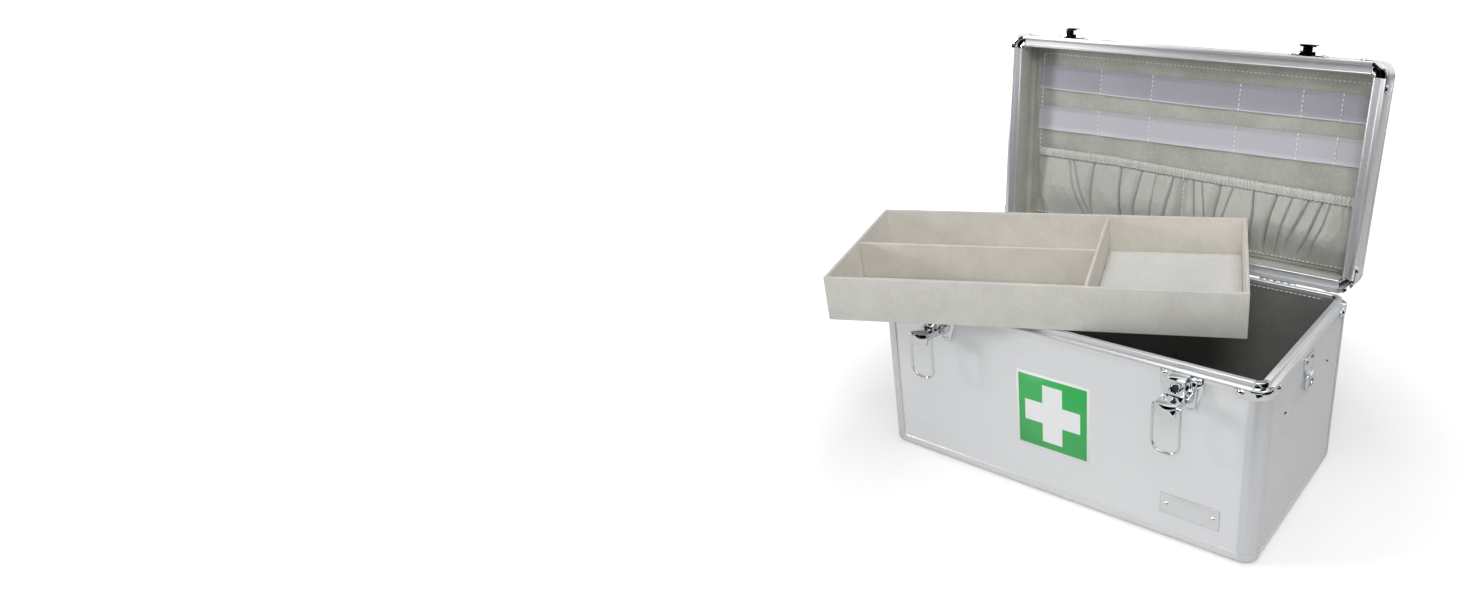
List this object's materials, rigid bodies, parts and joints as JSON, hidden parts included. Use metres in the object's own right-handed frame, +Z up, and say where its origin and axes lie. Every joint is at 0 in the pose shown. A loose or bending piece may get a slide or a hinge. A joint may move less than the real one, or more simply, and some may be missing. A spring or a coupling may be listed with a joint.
{
  "type": "medication lock box",
  "caption": "Aluminium-edged medicine case with keyed toggle latches, a lined lid standing open and a felt-covered lift-out tray.",
  "frame": {"origin": "centre of the underside of the case, on the surface it stands on", "axes": "+X to the right along the width, +Y to the rear with the hinges, +Z up"},
  "size_m": [0.4663, 0.36, 0.3968],
  "materials": {
    "profile": "satin",
    "faced_board": "satin, board faced with brushed aluminium film",
    "chromed": "polished",
    "wire": "polished",
    "steel": "satin",
    "dark_lining": "matte",
    "felt": "matte",
    "pocket_cloth": "matte",
    "clear_strip": "gloss",
    "velour_board": "matte, board covered with velour",
    "grip": "matte"
  },
  "bodies": {
    "case": {"front_panel": "faced_board", "rear_panel": "faced_board", "end_panels": "faced_board", "floor_panel": "faced_board", "corner_posts": "profile", "base_frame": "profile", "base_corners": "chromed", "body_rim": "profile", "body_rim_corners": "chromed", "body_rim_rivets": "chromed", "body_lining": "dark_lining", "tray_ledges": "dark_lining", "end_rivets": "chromed", "latch_plates": "chromed", "latch_rivets": "chromed", "lock_boxes": "chromed", "key_posts": "steel", "lever_pins": "wire", "strap_plates": "chromed", "strap_rivets": "chromed", "hinge_body_leaves": "chromed", "hinge_pins": "wire", "hinge_body_rivets": "chromed"},
    "lid": {"lid_rim": "profile", "lid_rim_corners": "chromed", "lid_rim_rivets": "chromed", "lid_walls": "faced_board", "lid_posts": "profile", "lid_edges": "profile", "lid_edge_corners": "chromed", "lid_top": "faced_board", "lid_lining": "felt", "loop_strips": "clear_strip", "lid_pocket": "pocket_cloth", "lid_catches": "chromed", "catch_rivets": "chromed", "hinge_lid_leaves": "chromed", "hinge_lid_rivets": "chromed", "handle_brackets": "chromed", "handle_pins": "wire"},
    "lever_left": {"lever_left": "chromed"},
    "lever_right": {"lever_right": "chromed"},
    "bail_left": {"bail_left": "wire"},
    "bail_right": {"bail_right": "wire"},
    "bolt_left": {"bolt_left": "steel"},
    "bolt_right": {"bolt_right": "steel"},
    "ring_left": {"ring_left": "wire"},
    "ring_right": {"ring_right": "wire"},
    "handle": {"handle_arms": "wire", "handle_grip": "grip"},
    "tray": {"tray_shell": "velour_board", "tray_dividers": "velour_board", "tray_pads": "velour_board"}
  },
  "joints": [
    {"name": "lid_hinge", "type": "hinge", "parent": "case", "child": "lid", "pos_m": [0, 0.1095, 0.1712], "axis": [1, 0, 0], "range_deg": [0, 97.3]},
    {"name": "tray_lift", "type": "slide", "parent": "case", "child": "tray", "axis": [0, -0.9397, 0.342], "range_m": [0, 0.4001]},
    {"name": "lever_left_swing", "type": "hinge", "parent": "case", "child": "lever_left", "pos_m": [-0.127, -0.1145, 0.15], "axis": [1, 0, 0], "range_deg": [0, 96]},
    {"name": "bail_left_swing", "type": "hinge", "parent": "lever_left", "child": "bail_left", "pos_m": [-0.127, -0.13495, 0.15143], "axis": [-1, 0, 0], "range_deg": [0, 276]},
    {"name": "bolt_left_slide", "type": "slide", "parent": "case", "child": "bolt_left", "axis": [0, 0, -1], "range_m": [0, 0.002]},
    {"name": "ring_left_swing", "type": "hinge", "parent": "case", "child": "ring_left", "pos_m": [-0.2018, -0.006, 0.142], "axis": [0, 1, 0], "range_deg": [0, 90]},
    {"name": "lever_right_swing", "type": "hinge", "parent": "case", "child": "lever_right", "pos_m": [0.127, -0.1145, 0.15], "axis": [1, 0, 0], "range_deg": [0, 96]},
    {"name": "bail_right_swing", "type": "hinge", "parent": "lever_right", "child": "bail_right", "pos_m": [0.127, -0.13495, 0.15143], "axis": [-1, 0, 0], "range_deg": [0, 276]},
    {"name": "bolt_right_slide", "type": "slide", "parent": "case", "child": "bolt_right", "axis": [0, 0, -1], "range_m": [0, 0.002]},
    {"name": "ring_right_swing", "type": "hinge", "parent": "case", "child": "ring_right", "pos_m": [0.2018, -0.006, 0.142], "axis": [0, -1, 0], "range_deg": [0, 90]},
    {"name": "handle_swing", "type": "hinge", "parent": "lid", "child": "handle", "pos_m": [0, 0.16884, 0.27399], "axis": [1, 0, 0], "range_deg": [0, 180]}
  ],
  "couplings": [
    {"joint": "tray_lift", "follows": "lid_hinge", "m_per_rad": 0.23554},
    {"joint": "bail_left_swing", "follows": "lever_left_swing", "ratio": 2.875},
    {"joint": "bail_right_swing", "follows": "lever_right_swing", "ratio": 2.875}
  ]
}
